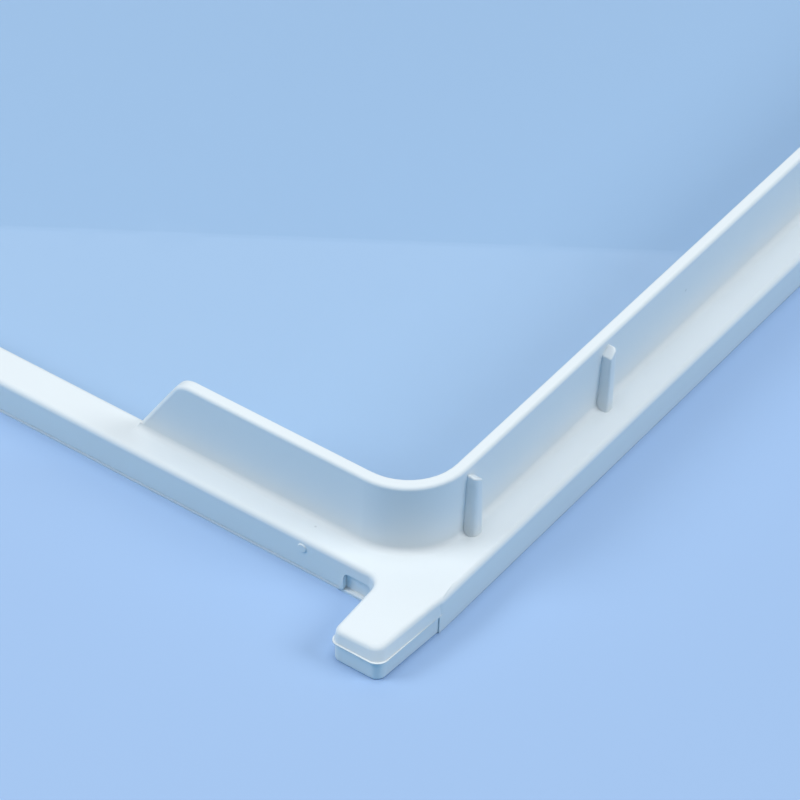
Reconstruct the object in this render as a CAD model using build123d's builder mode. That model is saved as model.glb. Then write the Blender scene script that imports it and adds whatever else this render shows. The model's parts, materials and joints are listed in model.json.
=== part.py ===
from build123d import *
import math
import os

# Refrigerator shelf: a glass pane held between an upper and a lower plastic moulding.
# Millimetres. X runs along the width, the rear wall of the cabinet is at +Y, Z is up.
# The underside of the lower frame is at Z = 0. Left and right are alike, but for two small
# moulding marks on the right side.

# Rails
frame_width = 470.0  # over the side skirts, without the tabs
frame_depth = 320.0
rail_top = 10.4  # height of the flat land
side_rail = 10.9  # width of the side and front rails
rear_rail = 12.5
lip = 2.4  # thickness of the land over the glass
skirt = 1.1  # thickness of the outer skirt
skirt_rise = 1.1  # side and front skirts end this far up
rear_skirt_rise = 0.1
rail_edge_radius = 1.5  # outer top edge
opening_edge_radius = 1.2  # inner top edge
front_corner_radius = 8.0
rear_corner_radius = 4.0  # at the root of the tab
front_opening_radius = 4.0

# Backstop wall
wall = 3.0
wall_top = 31.0
wall_rear_land = rear_rail - wall  # land left outside the wall
wall_side_land = side_rail - wall
wall_corner_radius = 14.7  # inner face
wall_return = 96.0  # from the rear face to the foot of the return's end
wall_end_angle = 57.7  # slope of the end, from level
wall_end_radius = 6.0
wall_rim_radius = 1.0
cove_radius = 1.6
embed = 1.3  # depth by which joined features run into each other

# Ribs on the wall's outer face: a facing pair, with places measured from the side of the frame. Their
# heads slope down towards each other, and the sides turned away from each other are rounder.
rib_foot_places = (26.9, 84.5)
rib_head_places = (27.2, 85.5)
rib_facings = (-1, 1)  # along X on the right half
rib_foot_width = 3.8
rib_head_width = 2.9
rib_foot_proud = 3.3
rib_head_proud = 2.5
rib_foot_radii = (1.7, 0.7)  # of the front corners, turned away and facing
rib_head_radii = (1.2, 0.5)
rib_top = 29.2
rib_side_fall = 36.0
rib_front_fall = 3.0
rib_edge_radius = 0.45

# Tabs at the rear corners: a cap of the upper frame over a block of the lower frame
tab_reach = 20.2
tab_root = 16.6  # width where it leaves the side rail
tab_tip_rear = 1.4  # set back of the tip's two corners from the rear face
tab_tip_front = 15.9
tab_depth = 10.0  # reach of the cap into the rail
tab_start = 2.3  # the rear skirt ends here, a little short of the tab's block
tab_fall = 1.1  # fall of the cap's top from its root to its tip
tab_flare = 4.0  # room beside the front root for its rounding
tab_front_radius = 2.2
tab_rear_radius = 3.2
tab_root_radius = 3.4
tab_edge_radius = 1.4
cap_underside = 5.4
cap_foot_insets = (0.1, 0.1, 0.1, 0.0)  # of the front side, the tip's two corners and the rear root
cap_head_insets = (0.35, 0.9, 1.7, 0.35)
flash = 0.2  # thin line of flash along the cap's lower edge
flash_height = 0.4
block_inset = 0.35
block_front_radius = 2.2
block_rear_radius = 2.6
block_wall = 1.9
block_edge_radius = 0.6

# Notch in the side skirt beside the tab
notch_start = 18.1
notch_end = 26.6
notch_top = 6.2
notch_start_radius = 2.1
notch_end_radius = 1.2

# Moulding marks on the side
pip_place = 39.1
pip_height = 7.4
pip_radius = 1.4
pip_proud = 0.3
pip_draft = 45.0
tooth_place = 28.2
tooth_top = 5.0
tooth_foot = 0.4
tooth_thickness = 0.25

# Lower frame
play = 0.1  # gap between the skirt and the lower frame
lower_wall = 1.7
ledge_drop = 0.4  # the ledge ends this far outside the lip
ledge = 1.8
inner_wall = 1.6
strip_inset = 0.05  # strip that shows below the side skirt, nearly flush with it
strip_height = 0.8
strip_edge_radius = 0.25

# Glass
glass = 4.0
glass_play = 0.3
glass_corner_radius = 4.0
glass_seam = 0.4
small_radius = 0.8

half_width = frame_width / 2
half_depth = frame_depth / 2
glass_top = rail_top - lip
glass_bottom = glass_top - glass
wall_outer_x = half_width - wall_side_land
wall_outer_y = half_depth - wall_rear_land
wall_outer_radius = wall_corner_radius + wall
wall_foot_y = half_depth - wall_return
lower_inset = skirt + play
block_depth = tab_start - play  # reach of the block into the rail


def plan(half, front, rear, front_radius, rear_radius):
    """A rectangle in plan with its own corner radius at the front and at the rear."""
    with BuildSketch() as outline:
        with BuildLine():
            FilletPolyline(
                (-half, front),
                (half, front),
                (half, rear),
                (-half, rear),
                radius=[front_radius, front_radius, rear_radius, rear_radius],
                close=True,
            )
        make_face()
    return outline.sketch


def inset_plan(inset, rear_radius=small_radius):
    """The frame's outline, moved inwards."""
    front_radius = max(front_corner_radius - inset, small_radius)
    return plan(half_width - inset, inset - half_depth, half_depth - inset, front_radius, rear_radius)


def opening_plan(growth):
    """The opening inside the rails, made larger all round."""
    return plan(
        half_width - side_rail + growth,
        side_rail - half_depth - growth,
        half_depth - rear_rail + growth,
        front_opening_radius + growth,
        wall_corner_radius + growth,
    )


def tab_points(inset, root_depth):
    """Plan corners of the right tab from its front root to its rear root, moved inwards."""
    tip = half_width + tab_reach - inset
    return [
        (half_width - root_depth, half_depth - tab_root + inset),
        (tip, half_depth - tab_tip_front + inset),
        (tip, half_depth - tab_tip_rear - inset),
        (half_width - root_depth, half_depth - inset),
    ]


def cap_plan(front_inset, tip_front_inset, tip_rear_inset, root_inset):
    """Plan of the right tab's cap, with its root inside the rail and its sides moved inwards."""
    tip = half_width + tab_reach
    with BuildSketch() as outline:
        with BuildLine():
            FilletPolyline(
                (half_width - tab_depth, half_depth - tab_root - tab_flare),
                (half_width, half_depth - tab_root - tab_flare),
                (half_width, half_depth - tab_root + front_inset),
                (tip - tip_front_inset, half_depth - tab_tip_front + front_inset),
                (tip - tip_rear_inset, half_depth - tab_tip_rear - tip_rear_inset),
                (half_width - tab_start, half_depth - root_inset),
                (half_width - tab_depth, half_depth - tab_tip_rear),
                radius=[0, 0, tab_root_radius, tab_front_radius, tab_rear_radius, 0, 0],
                close=True,
            )
        make_face()
    return outline.sketch


def round_corners(outline, radii):
    """Rounds the two corners of a sketch's furthest side, the first and the last along its X."""
    for end, corner_radius in zip((0, -1), radii):
        far_side = outline.vertices().group_by(Axis.Y)[-1].sort_by(Axis.X)
        fillet(far_side[end], corner_radius)


def rib(foot_place, head_place, facing):
    """A drafted rib on the land against the wall, turned to +X or -X by facing."""
    sections = (
        (rail_top - embed, foot_place, rib_foot_width, rib_foot_proud, rib_foot_radii),
        (rib_top + embed, head_place, rib_head_width, rib_head_proud, rib_head_radii),
    )
    with BuildPart() as body:
        for height, place, width, proud, radii in sections:
            with BuildSketch(Plane.XY.offset(height)) as section:
                with Locations((half_width - place, wall_outer_y + proud)):
                    Rectangle(width, proud + wall / 2, align=(Align.CENTER, Align.MAX))
                round_corners(section, radii[::facing])
        loft()
        side_slope = facing * math.tan(math.radians(rib_side_fall))
        front_slope = math.tan(math.radians(rib_front_fall))
        outer_side = half_width - head_place - facing * rib_head_width / 2
        head_plane = Plane(origin=(outer_side, wall_outer_y, rib_top), z_dir=(side_slope, front_slope, 1))
        split(bisect_by=head_plane, keep=Keep.BOTTOM)
        head_face = body.faces().sort_by(lambda face: face.normal_at().dot(head_plane.z_dir))[-1]
        fillet(head_face.edges().sort_by(Axis.Y)[1:], rib_edge_radius)
    return body.part


def return_profile():
    """Side view of the backstop: sloped at the front end, with a rounded top."""
    slope_run = (wall_top - rail_top) / math.tan(math.radians(wall_end_angle))
    foot_run = embed / math.tan(math.radians(wall_end_angle))
    with BuildSketch(Plane.YZ) as profile:
        with BuildLine():
            Polyline(
                (wall_foot_y - foot_run, rail_top - embed),
                (wall_foot_y + slope_run, wall_top),
                (half_depth, wall_top),
                (half_depth, rail_top - embed),
                close=True,
            )
        make_face()
        top_front = profile.vertices().group_by(Axis.Y)[-1].sort_by(Axis.X)[0]
        fillet(top_front, wall_end_radius)
    return profile.sketch


# Backstop: a wall that runs along the rear and returns along both sides
with BuildPart() as backstop:
    with BuildSketch(Plane.XY.offset(rail_top - embed)):
        add(plan(wall_outer_x, 0, wall_outer_y, small_radius, wall_outer_radius))
    extrude(amount=wall_top - rail_top + embed)
    extrude(return_profile(), amount=half_width, both=True, mode=Mode.INTERSECT)
    raised = backstop.edges().filter_by(lambda edge: edge.center().Z > rail_top)
    seams = [*raised.filter_by(Axis.Z), *raised.filter_by(Axis.X).sort_by(Axis.Y)[:-1]]
    fillet([edge for edge in raised if edge not in seams], wall_rim_radius)
    with BuildSketch(Plane.XY.offset(rail_top - embed)):
        add(plan(wall_outer_x - wall, -half_depth, wall_outer_y - wall, small_radius, wall_corner_radius))
    extrude(amount=wall_top, mode=Mode.SUBTRACT)

# Cove along the foot of the backstop's outer face
with BuildPart() as cove:
    with BuildLine() as foot:
        FilletPolyline(
            (wall_outer_x, wall_foot_y - embed, rail_top),
            (wall_outer_x, wall_outer_y, rail_top),
            (-wall_outer_x, wall_outer_y, rail_top),
            (-wall_outer_x, wall_foot_y - embed, rail_top),
            radius=wall_outer_radius,
        )
    with BuildSketch(Plane(origin=foot.line @ 0, x_dir=(1, 0, 0), z_dir=(0, -1, 0))):
        with BuildLine():
            Polyline(
                (0, cove_radius),
                (-embed, cove_radius),
                (-embed, -embed),
                (cove_radius, -embed),
                (cove_radius, 0),
            )
            RadiusArc((cove_radius, 0), (0, cove_radius), cove_radius)
        make_face()
    sweep(path=foot.line)
    extrude(return_profile(), amount=half_width, both=True, mode=Mode.INTERSECT)

# Ribs of the right half
ribs = [rib(*values) for values in zip(rib_foot_places, rib_head_places, rib_facings)]

# Tab cap: its tip and rear side slope, its top falls a little towards the tip and is rounded at its
# edges, and a thin line of flash runs along its foot
with BuildPart() as tab_cap:
    with BuildSketch(Plane.XY.offset(cap_underside)):
        add(cap_plan(*cap_foot_insets))
    with BuildSketch(Plane.XY.offset(rail_top)):
        add(cap_plan(*cap_head_insets))
    loft()
    fall = math.atan2(tab_fall, tab_reach)
    split(
        bisect_by=Plane(origin=(half_width, 0, rail_top), z_dir=(math.sin(fall), 0, math.cos(fall))),
        keep=Keep.BOTTOM,
    )
    top_faces = tab_cap.faces().filter_by(lambda face: face.normal_at().Z > math.cos(2 * fall))
    top_edges = top_faces.sort_by(Axis.X)[-1].edges().sort_by(Axis.X)
    fillet(top_edges[1:], tab_edge_radius)
    with BuildSketch(Plane.XY.offset(cap_underside)):
        with BuildLine():
            FilletPolyline(
                *tab_points(-flash, 0)[:3],
                (half_width - tab_start, half_depth),
                radius=[0, tab_front_radius + flash, tab_rear_radius + flash, 0],
                close=True,
            )
        make_face()
    extrude(amount=flash_height)
    mirror(about=Plane.YZ)

# Upper frame
with BuildPart() as upper_frame:
    # rail tops, then the tab caps
    with BuildSketch(Plane.XY.offset(cap_underside)):
        add(inset_plan(0, rear_corner_radius))
    extrude(amount=rail_top - cap_underside)
    fillet(upper_frame.faces().sort_by(Axis.Z)[-1].edges(), rail_edge_radius)
    add(tab_cap.part)

    # side and front skirts, and the longer rear skirt between the tabs
    with BuildSketch(Plane.XY.offset(skirt_rise)):
        add(inset_plan(0))
        add(inset_plan(skirt), mode=Mode.SUBTRACT)
        with Locations((0, half_depth)):
            Rectangle(frame_width, 2 * notch_end, mode=Mode.SUBTRACT)
    extrude(amount=cap_underside - skirt_rise)
    with BuildSketch(Plane.XY.offset(rear_skirt_rise)):
        with Locations((0, half_depth - skirt / 2)):
            Rectangle(frame_width - 2 * tab_start, skirt)
    extrude(amount=cap_underside - rear_skirt_rise)

    # room for the glass and the lower frame, and the opening inside the rails
    with BuildSketch(Plane.XY.offset(cap_underside)):
        add(inset_plan(skirt))
    extrude(amount=glass_top - cap_underside, mode=Mode.SUBTRACT)
    with BuildSketch(Plane.XY.offset(cap_underside)):
        add(opening_plan(0))
    extrude(amount=rail_top, mode=Mode.SUBTRACT)
    land = upper_frame.faces().sort_by(Axis.Z)[-1]
    fillet(land.inner_wires()[0].edges(), opening_edge_radius)

    # notch in the side skirts, beside the tabs
    with BuildSketch(Plane.YZ) as notch:
        with Locations((half_depth - (notch_start + notch_end) / 2, 0)):
            Rectangle(notch_end - notch_start, 2 * notch_top)
        round_corners(notch, (notch_end_radius, notch_start_radius))
    extrude(amount=half_width + tab_reach, both=True, mode=Mode.SUBTRACT)

    add(backstop.part)
    add(cove.part)
    add(ribs)
    mirror(ribs, about=Plane.YZ)

    # moulding marks on the right side: a low pip, and a tooth of flash along the notch's edge
    with BuildSketch(Plane(origin=(half_width, half_depth - pip_place, pip_height), z_dir=(1, 0, 0))):
        Circle(pip_radius)
    extrude(amount=pip_proud, taper=pip_draft)
    with BuildSketch(Plane.YZ.offset(half_width)):
        with BuildLine():
            Polyline(
                (half_depth - notch_end, tooth_top),
                (half_depth - tooth_place, tooth_foot),
                (half_depth - notch_end, skirt_rise),
                close=True,
            )
        make_face()
    extrude(amount=tooth_thickness)

# Tab block: a box under the tab's cap, open downwards
with BuildPart() as tab_block:
    with BuildSketch():
        with BuildLine():
            FilletPolyline(
                *tab_points(block_inset, block_depth),
                radius=[0, block_front_radius, block_rear_radius, 0],
                close=True,
            )
        make_face()
    extrude(amount=cap_underside)
    fillet(tab_block.faces().sort_by(Axis.Z)[0].edges(), block_edge_radius)
    with BuildSketch():
        with BuildLine():
            FilletPolyline(
                *tab_points(block_inset + block_wall, 0),
                radius=[0, small_radius, small_radius, 0],
                close=True,
            )
        make_face()
    extrude(amount=cap_underside - block_wall, mode=Mode.SUBTRACT)
    mirror(about=Plane.YZ)

# Strip that shows below the side and front skirts
with BuildPart() as strip:
    with BuildSketch():
        add(inset_plan(strip_inset))
    extrude(amount=strip_height)
    fillet(strip.faces().sort_by(Axis.Z)[-1].edges(), strip_edge_radius)
    with BuildSketch():
        add(inset_plan(lower_inset + lower_wall / 2))
        with Locations((0, half_depth)):
            Rectangle(frame_width, 2 * (tab_root - block_inset - embed))
    extrude(amount=strip_height, mode=Mode.SUBTRACT)

# Lower frame
with BuildPart() as lower_frame:
    # outer wall up to the lip, with the glass pocket and the ledge inside it
    with BuildSketch():
        add(inset_plan(lower_inset))
    extrude(amount=glass_top)
    with BuildSketch(Plane.XY.offset(glass_bottom)):
        add(inset_plan(lower_inset + lower_wall))
    extrude(amount=glass, mode=Mode.SUBTRACT)
    with BuildSketch():
        add(opening_plan(ledge_drop))
    extrude(amount=glass_top, mode=Mode.SUBTRACT)

    # channel under the ledge, open downwards
    with BuildSketch():
        add(inset_plan(lower_inset + lower_wall))
        add(opening_plan(ledge_drop + inner_wall), mode=Mode.SUBTRACT)
    extrude(amount=glass_bottom - ledge, mode=Mode.SUBTRACT)

    add(strip.part)
    add(tab_block.part)

# Glass pane, with its edges seamed
with BuildPart() as glass_pane:
    glass_inset = lower_inset + lower_wall + glass_play
    with BuildSketch(Plane.XY.offset(glass_bottom)):
        add(inset_plan(glass_inset, glass_corner_radius))
    extrude(amount=glass)
    flat_faces = glass_pane.faces().filter_by(Axis.Z)
    chamfer(flat_faces.edges(), glass_seam)

os.makedirs("parts", exist_ok=True)
upper_frame.part.label = "upper_frame"
export_step(upper_frame.part, "parts/upper_frame.step")
lower_frame.part.label = "lower_frame"
export_step(lower_frame.part, "parts/lower_frame.step")
glass_pane.part.label = "glass_pane"
export_step(glass_pane.part, "parts/glass_pane.step")
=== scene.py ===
"""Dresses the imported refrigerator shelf, a clear pane in a white moulded frame, in soft light."""

import json
import logging
import math
from dataclasses import dataclass
from enum import Enum

import bmesh
import bpy
from mathutils import Matrix, Vector

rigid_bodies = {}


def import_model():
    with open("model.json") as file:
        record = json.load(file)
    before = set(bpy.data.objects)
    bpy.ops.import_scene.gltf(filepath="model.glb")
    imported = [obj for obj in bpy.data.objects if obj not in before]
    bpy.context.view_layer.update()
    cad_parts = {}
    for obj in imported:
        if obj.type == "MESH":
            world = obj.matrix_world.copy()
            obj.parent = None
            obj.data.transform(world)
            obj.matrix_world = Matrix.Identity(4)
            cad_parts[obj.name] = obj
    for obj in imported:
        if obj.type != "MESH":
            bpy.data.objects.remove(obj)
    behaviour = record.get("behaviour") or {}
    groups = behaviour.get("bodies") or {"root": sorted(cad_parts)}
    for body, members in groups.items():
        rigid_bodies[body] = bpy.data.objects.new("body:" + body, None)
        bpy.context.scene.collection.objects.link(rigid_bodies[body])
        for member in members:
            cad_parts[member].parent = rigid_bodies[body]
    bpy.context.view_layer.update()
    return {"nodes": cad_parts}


LOG = logging.getLogger("shelf")
MM = 0.001  # metres in a millimetre

# The curve that sRGB colours are written on
FULL_BYTE = 255
STRAIGHT_BELOW = 0.04045
STRAIGHT_SLOPE = 12.92
CURVE_OFFSET = 0.055
CURVE_POWER = 2.4

# Places of a Mix node's colour sockets, which share their names with its other sockets
MIX_SHARE, MIX_FIRST, MIX_SECOND, MIX_RESULT = 0, 6, 7, 2

HALF_BOUNCE = 0.5  # tells no diffuse bounce from one or more


class Rays(Enum):
    """Light Path outputs that tell which rays meet a surface."""

    CAMERA = "Is Camera Ray"
    GLOSSY = "Is Glossy Ray"
    TRANSMISSION = "Is Transmission Ray"
    DIFFUSE = "Is Diffuse Ray"
    SHADOW = "Is Shadow Ray"
    DIFFUSE_DEPTH = "Diffuse Depth"


def linear(hex_colour: str) -> tuple[float, float, float, float]:
    """Turns an sRGB hex colour into linear red, green, blue and alpha.

    Args:
        hex_colour: The colour, such as "#e6edf0".

    Returns:
        Four numbers from 0 to 1, the last one 1.
    """
    written = [int(hex_colour[i : i + 2], 16) / FULL_BYTE for i in (1, 3, 5)]
    red, green, blue = (
        value / STRAIGHT_SLOPE
        if value <= STRAIGHT_BELOW
        else ((value + CURVE_OFFSET) / (1 + CURVE_OFFSET)) ** CURVE_POWER
        for value in written
    )
    return red, green, blue, 1.0


def per_metre(spacing_mm: float) -> float:
    """Returns the texture scale that repeats a pattern every spacing_mm."""
    return 1 / (spacing_mm * MM)


def add_node(
    tree: bpy.types.NodeTree,
    kind: str,
    settings: dict[str | int, object] | None = None,
    links: dict[str | int, bpy.types.NodeSocket] | None = None,
) -> bpy.types.Node:
    """Adds a node to a tree with its settings and links.

    Args:
        tree: The node tree of a material or of the world.
        kind: The node's Blender type.
        settings: Values by name or place: an input's own value where there is such an input, and
            otherwise a property of the node.
        links: Output sockets by the name or place of the input that they feed.

    Returns:
        The new node.
    """
    node = tree.nodes.new(kind)
    for key, value in (settings or {}).items():
        if isinstance(key, int) or key in node.inputs:
            node.inputs[key].default_value = value
        else:
            setattr(node, key, value)
    for key, socket in (links or {}).items():
        tree.links.new(socket, node.inputs[key])
    return node


def new_material(name: str) -> tuple[bpy.types.Material, bpy.types.NodeTree]:
    """Makes an empty node material.

    Args:
        name: The material's name.

    Returns:
        The material and its cleared node tree.
    """
    material = bpy.data.materials.new(name)
    material.use_nodes = True
    material.node_tree.nodes.clear()
    return material, material.node_tree


def seen_rays(tree: bpy.types.NodeTree) -> bpy.types.NodeSocket:
    """Tells the rays that the eye follows, also by way of gloss and glass, from those that light.

    Args:
        tree: The node tree of a stage material or of the world.

    Returns:
        A socket that is 1 for seen rays and 0 for the rest.
    """
    rays = add_node(tree, "ShaderNodeLightPath")
    seen = rays.outputs[Rays.CAMERA.value]
    for kind in (Rays.GLOSSY, Rays.TRANSMISSION):
        either = add_node(
            tree,
            "ShaderNodeMath",
            {"operation": "MAXIMUM"},
            {0: seen, 1: rays.outputs[kind.value]},
        )
        seen = either.outputs[0]
    direct = add_node(
        tree,
        "ShaderNodeMath",
        {"operation": "LESS_THAN", 1: HALF_BOUNCE},
        {0: rays.outputs[Rays.DIFFUSE_DEPTH.value]},
    )
    both = add_node(
        tree, "ShaderNodeMath", {"operation": "MULTIPLY"}, {0: seen, 1: direct.outputs[0]}
    )
    return both.outputs[0]


@dataclass(frozen=True)
class Patches:
    """A soft random pattern in a surface."""

    width_mm: float  # of one patch
    detail: float  # how many times the patches break up into finer ones


@dataclass(frozen=True)
class Speck:
    """A faint grey speck of dirt pressed into a surface."""

    centre_mm: tuple[float, float, float]
    radius_mm: float


@dataclass(frozen=True)
class MouldedPolystyrene:
    """White high-impact polystyrene, injection moulded in a finely sparked steel mould.

    The white pigment makes it opaque and bright. The mould's grain breaks the gloss down to a satin
    sheen, and cooling leaves faint waves and uneven shine.
    """

    name: str = "white_polystyrene_moulded_satin"
    colour_hex: str = "#e9eff2"
    flow_hex: str = "#e3eaee"  # a little greyer, where the melt flowed last
    ior: float = 1.59
    roughness_low: float = 0.34
    roughness_high: float = 0.46
    shine_spread: tuple[float, float] = (0.3, 0.7)  # noise that gives low and high roughness
    flow: Patches = Patches(width_mm=38.0, detail=2.0)  # soft patches left by the melt's flow
    shine: Patches = Patches(width_mm=7.0, detail=3.0)  # patches of uneven shine
    grain: Patches = Patches(width_mm=0.7, detail=2.0)  # really near 0.1 mm; coarser, to show
    waves: Patches = Patches(width_mm=16.0, detail=1.0)  # long waves left by cooling
    grain_depth_mm: float = 0.0022
    wave_depth_mm: float = 0.02
    edge_mm: float = 0.22  # the least rounding a moulded edge has
    edge_samples: int = 4
    speck_hex: str = "#c9d1d5"
    specks: tuple[Speck, ...] = (
        Speck(centre_mm=(112.6, 150.5, 22.4), radius_mm=0.6),  # on the rear of the backstop
        Speck(centre_mm=(229.6, 120.8, 10.4), radius_mm=0.5),  # on the land beside it
    )

    def add_speck(
        self,
        tree: bpy.types.NodeTree,
        place: bpy.types.NodeSocket,
        colour: bpy.types.NodeSocket,
        speck: Speck,
    ) -> bpy.types.NodeSocket:
        """Adds one speck to the plastic's colour.

        Args:
            tree: The material's node tree.
            place: Where on the moulding a point lies.
            colour: The colour so far.
            speck: The speck.

        Returns:
            The colour with the speck in it.
        """
        centre = tuple(c * MM for c in speck.centre_mm)
        away = add_node(
            tree, "ShaderNodeVectorMath", {"operation": "DISTANCE", 1: centre}, {0: place}
        )
        share = add_node(
            tree,
            "ShaderNodeMapRange",
            {
                "interpolation_type": "SMOOTHSTEP",
                "From Max": speck.radius_mm * MM,
                "To Min": 1.0,
                "To Max": 0.0,
            },
            {"Value": away.outputs["Value"]},
        )
        mixed = add_node(
            tree,
            "ShaderNodeMix",
            {"data_type": "RGBA", MIX_SECOND: linear(self.speck_hex)},
            {MIX_SHARE: share.outputs["Result"], MIX_FIRST: colour},
        )
        return mixed.outputs[MIX_RESULT]

    def build(self) -> bpy.types.Material:
        """Builds the material.

        Returns:
            The material, patterned in the frame's own millimetres.
        """
        material, tree = new_material(self.name)
        place = add_node(tree, "ShaderNodeTexCoord").outputs["Object"]
        flow, shine, grain, waves = (
            add_node(
                tree,
                "ShaderNodeTexNoise",
                {"Scale": per_metre(patches.width_mm), "Detail": patches.detail},
                {"Vector": place},
            ).outputs["Fac"]
            for patches in (self.flow, self.shine, self.grain, self.waves)
        )
        mixed = add_node(
            tree,
            "ShaderNodeMix",
            {
                "data_type": "RGBA",
                MIX_FIRST: linear(self.colour_hex),
                MIX_SECOND: linear(self.flow_hex),
            },
            {MIX_SHARE: flow},
        )
        colour = mixed.outputs[MIX_RESULT]
        for speck in self.specks:
            colour = self.add_speck(tree, place, colour, speck)
        roughness = add_node(
            tree,
            "ShaderNodeMapRange",
            {
                "From Min": self.shine_spread[0],
                "From Max": self.shine_spread[1],
                "To Min": self.roughness_low,
                "To Max": self.roughness_high,
            },
            {"Value": shine},
        )
        edges = add_node(
            tree,
            "ShaderNodeBevel",
            {"samples": self.edge_samples, "Radius": self.edge_mm * MM},
        )
        fine = add_node(
            tree,
            "ShaderNodeBump",
            {"Distance": self.grain_depth_mm * MM},
            {"Height": grain, "Normal": edges.outputs["Normal"]},
        )
        broad = add_node(
            tree,
            "ShaderNodeBump",
            {"Distance": self.wave_depth_mm * MM},
            {"Height": waves, "Normal": fine.outputs["Normal"]},
        )
        surface = add_node(
            tree,
            "ShaderNodeBsdfPrincipled",
            {"IOR": self.ior},
            {
                "Base Color": colour,
                "Roughness": roughness.outputs["Result"],
                "Normal": broad.outputs["Normal"],
            },
        )
        add_node(tree, "ShaderNodeOutputMaterial", links={"Surface": surface.outputs["BSDF"]})
        return material


@dataclass(frozen=True)
class FloatGlass:
    """Clear float glass, flat and polished by its making.

    It is nearly colourless face on, mirrors the room faintly, and carries smears where it was
    handled.
    """

    name: str = "clear_float_glass"
    tint_hex: str = "#fafdfd"
    ior: float = 1.52
    clean_roughness: float = 0.0
    smeared_roughness: float = 0.09
    smears: Patches = Patches(width_mm=30.0, detail=4.0)  # left by wiping
    smear_spread: tuple[float, float] = (0.52, 0.72)  # noise at which a smear begins and is full

    def build(self) -> bpy.types.Material:
        """Builds the material.

        Returns:
            The material; lamps shine through it, so that what lies under the pane is lit.
        """
        material, tree = new_material(self.name)
        place = add_node(tree, "ShaderNodeTexCoord").outputs["Object"]
        smears = add_node(
            tree,
            "ShaderNodeTexNoise",
            {"Scale": per_metre(self.smears.width_mm), "Detail": self.smears.detail},
            {"Vector": place},
        )
        roughness = add_node(
            tree,
            "ShaderNodeMapRange",
            {
                "From Min": self.smear_spread[0],
                "From Max": self.smear_spread[1],
                "To Min": self.clean_roughness,
                "To Max": self.smeared_roughness,
            },
            {"Value": smears.outputs["Fac"]},
        )
        glass = add_node(
            tree,
            "ShaderNodeBsdfPrincipled",
            {"Base Color": linear(self.tint_hex), "IOR": self.ior, "Transmission Weight": 1.0},
            {"Roughness": roughness.outputs["Result"]},
        )
        clear = add_node(tree, "ShaderNodeBsdfTransparent", {"Color": linear(self.tint_hex)})
        rays = add_node(tree, "ShaderNodeLightPath")
        surface = glass
        for kind in (Rays.DIFFUSE, Rays.SHADOW):
            surface = add_node(
                tree,
                "ShaderNodeMixShader",
                links={0: rays.outputs[kind.value], 1: surface.outputs[0], 2: clear.outputs[0]},
            )
        add_node(tree, "ShaderNodeOutputMaterial", links={"Surface": surface.outputs[0]})
        return material


@dataclass(frozen=True)
class PaintedBoard:
    """A board in matt emulsion, rolled on: pale, even and nearly without gloss.

    What it throws back on the shelf is a deeper blue than the eye sees in it, as from a coloured
    ground.
    """

    name: str = "pale_painted_board"
    colour_hex: str = "#a3c0e6"
    bounce_hex: str = "#72b3e2"
    roughness: float = 0.8
    gloss: float = 0.2

    def build(self) -> bpy.types.Material:
        """Builds the material.

        Returns:
            The board's plain matt material.
        """
        material, tree = new_material(self.name)
        colour = add_node(
            tree,
            "ShaderNodeMix",
            {
                "data_type": "RGBA",
                MIX_FIRST: linear(self.bounce_hex),
                MIX_SECOND: linear(self.colour_hex),
            },
            {MIX_SHARE: seen_rays(tree)},
        )
        surface = add_node(
            tree,
            "ShaderNodeBsdfPrincipled",
            {"Roughness": self.roughness, "Specular IOR Level": self.gloss},
            {"Base Color": colour.outputs[MIX_RESULT]},
        )
        add_node(tree, "ShaderNodeOutputMaterial", links={"Surface": surface.outputs["BSDF"]})
        return material


@dataclass(frozen=True)
class FramePiece:
    """One of the shelf's three pieces, whose shape the frame brings along."""

    node: str

    def dress(self, nodes: dict[str, bpy.types.Object], finish: bpy.types.Material) -> None:
        """Gives the piece its finish.

        Args:
            nodes: The frame's objects by name.
            finish: The material that the piece is made of.
        """
        nodes[self.node].data.materials[0] = finish
        LOG.info("%s dressed in %s", self.node, finish.name)


@dataclass(frozen=True)
class SoftBox:
    """A flat studio lamp that shines evenly from its whole face."""

    name: str
    centre_m: tuple[float, float, float]
    aim_m: tuple[float, float, float]
    width_m: float
    height_m: float
    watts: float
    colour_hex: str = "#fafcfc"
    mirrored: bool = False  # whether gloss and glass show the lamp's own face

    def build(self) -> None:
        """Hangs the lamp and turns its face to its aim."""
        lamp = bpy.data.lights.new(self.name, "AREA")
        lamp.shape = "RECTANGLE"
        lamp.size, lamp.size_y = self.width_m, self.height_m
        lamp.energy = self.watts
        lamp.color = linear(self.colour_hex)[:3]
        holder = bpy.data.objects.new(self.name, lamp)
        bpy.context.scene.collection.objects.link(holder)
        holder.location = self.centre_m
        holder.visible_glossy = holder.visible_transmission = self.mirrored
        turn = (Vector(self.aim_m) - Vector(self.centre_m)).to_track_quat("-Z", "Y")
        holder.rotation_euler = turn.to_euler()
        LOG.info("%s hung", self.name)


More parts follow.
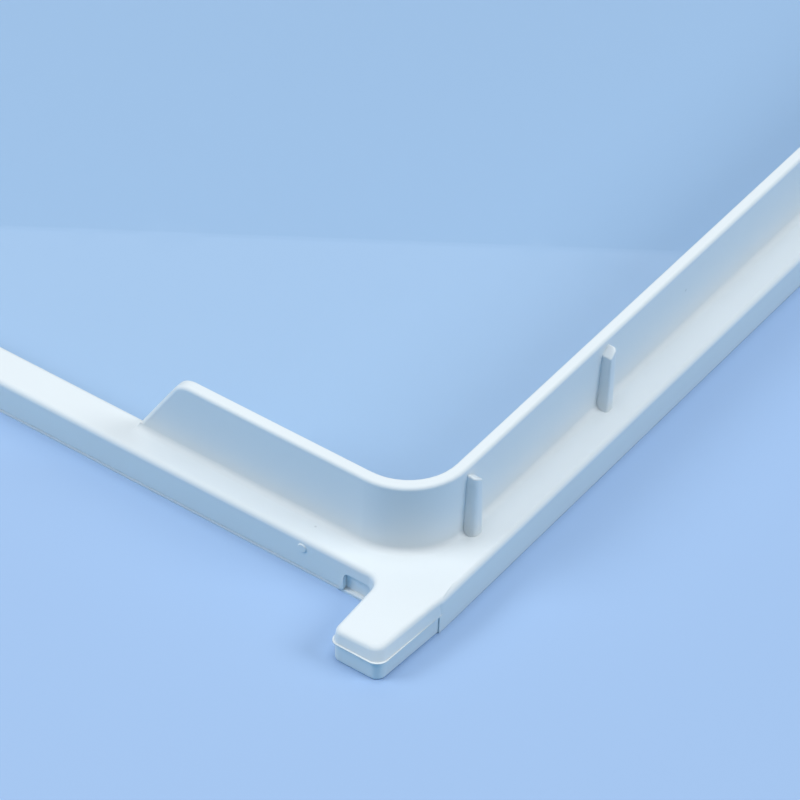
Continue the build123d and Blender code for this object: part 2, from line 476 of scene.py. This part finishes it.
@dataclass(frozen=True)
class Studio:
    """The floor, the even light of the room and the lamps.

    A broad lamp hangs overhead, with a fill on each side of the rear corner and a weak far panel,
    whose edge the pane mirrors as a faint line.
    """

    floor_m: float = 14.0
    room_hex: str = "#c6dcf3"  # light that the room sends from all round
    room_level: float = 0.16
    backdrop_hex: str = "#c3d7ec"
    backdrop_level: float = 1.0  # shows the backdrop's colour as it is written
    lamps: tuple[SoftBox, ...] = (
        SoftBox(
            name="overhead_softbox",
            centre_m=(0.30, 0.18, 2.0),
            aim_m=(0.22, 0.13, 0.0),
            width_m=1.2,
            height_m=1.2,
            watts=19.2,
        ),
        SoftBox(
            name="left_fill",
            centre_m=(0.98, -0.76, 1.07),
            aim_m=(0.22, 0.15, 0.0),
            width_m=0.7,
            height_m=0.7,
            watts=11.8,
        ),
        SoftBox(
            name="right_fill",
            centre_m=(-0.31, 1.29, 0.99),
            aim_m=(0.22, 0.15, 0.0),
            width_m=0.7,
            height_m=0.7,
            watts=9.8,
        ),
        SoftBox(
            name="far_panel",
            centre_m=(-1.14, -0.79, 1.95),
            aim_m=(0.18, 0.11, 0.0),
            width_m=2.4,
            height_m=1.1,
            watts=3.0,
            mirrored=True,
        ),
    )

    def build_floor(self, finish: bpy.types.Material) -> None:
        """Lays the floor that the shelf rests on.

        Args:
            finish: The board's material.
        """
        mesh = bpy.data.meshes.new("floor")
        grid = bmesh.new()
        bmesh.ops.create_grid(grid, x_segments=1, y_segments=1, size=self.floor_m / 2)
        grid.to_mesh(mesh)
        grid.free()
        mesh.materials.append(finish)
        floor = bpy.data.objects.new("floor", mesh)
        bpy.context.scene.collection.objects.link(floor)

    def build_room(self) -> None:
        """Sets the room's even light, and the pale backdrop that eye, glass and gloss see."""
        world = bpy.data.worlds.new("studio_room")
        world.use_nodes = True
        tree = world.node_tree
        tree.nodes.clear()
        room, backdrop = (
            add_node(tree, "ShaderNodeBackground", {"Color": linear(colour), "Strength": level})
            for colour, level in (
                (self.room_hex, self.room_level),
                (self.backdrop_hex, self.backdrop_level),
            )
        )
        both = add_node(
            tree,
            "ShaderNodeMixShader",
            links={0: seen_rays(tree), 1: room.outputs[0], 2: backdrop.outputs[0]},
        )
        add_node(tree, "ShaderNodeOutputWorld", links={"Surface": both.outputs[0]})
        bpy.context.scene.world = world

    def build_lamps(self) -> None:
        """Hangs the lamps in their order."""
        for lamp in self.lamps:
            lamp.build()


@dataclass(frozen=True)
class PhotoCamera:
    """A long lens that looks down on one rear corner of the shelf."""

    lens_mm: float = 191.36
    sensor_mm: float = 36.0
    target_mm: tuple[float, float, float] = (179.68, 109.94, 10.4)
    distance_mm: float = 1061.14
    azimuth_deg: float = 34.419  # of the eye, from +X towards +Y
    elevation_deg: float = 41.298
    roll_deg: float = 2.078
    clip_m: tuple[float, float] = (0.01, 100.0)

    def build(self) -> None:
        """Stands the camera in its place and makes it the scene's own."""
        azimuth, elevation = math.radians(self.azimuth_deg), math.radians(self.elevation_deg)
        level = Vector((math.cos(azimuth), math.sin(azimuth), 0.0))
        back = level * math.cos(elevation) + Vector((0.0, 0.0, math.sin(elevation)))
        right = Vector((-math.sin(azimuth), math.cos(azimuth), 0.0))
        up = back.cross(right)
        roll = Matrix.Rotation(math.radians(self.roll_deg), 3, "Z")
        turn = Matrix((right, up, back)).transposed() @ roll
        data = bpy.data.cameras.new("photo_camera")
        data.lens = self.lens_mm
        data.sensor_width = self.sensor_mm
        data.clip_start, data.clip_end = self.clip_m
        camera = bpy.data.objects.new("photo_camera", data)
        bpy.context.scene.collection.objects.link(camera)
        camera.matrix_world = turn.to_4x4()
        camera.location = (Vector(self.target_mm) + back * self.distance_mm) * MM
        bpy.context.scene.camera = camera


def clear_scene() -> None:
    """Takes away whatever a new Blender scene comes with."""
    for thing in list(bpy.data.objects):
        bpy.data.objects.remove(thing)


def main() -> None:
    """Loads the frame, dresses each piece in order and sets the studio round it."""
    logging.basicConfig(level=logging.INFO, format="%(name)s: %(message)s")
    clear_scene()
    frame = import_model()
    plastic = MouldedPolystyrene().build()
    FramePiece("upper_frame").dress(frame["nodes"], plastic)
    FramePiece("lower_frame").dress(frame["nodes"], plastic)
    FramePiece("glass_pane").dress(frame["nodes"], FloatGlass().build())
    studio = Studio()
    studio.build_floor(PaintedBoard().build())
    studio.build_room()
    studio.build_lamps()
    PhotoCamera().build()
    bpy.context.scene.view_settings.view_transform = "Standard"


if __name__ == "__main__":
    main()
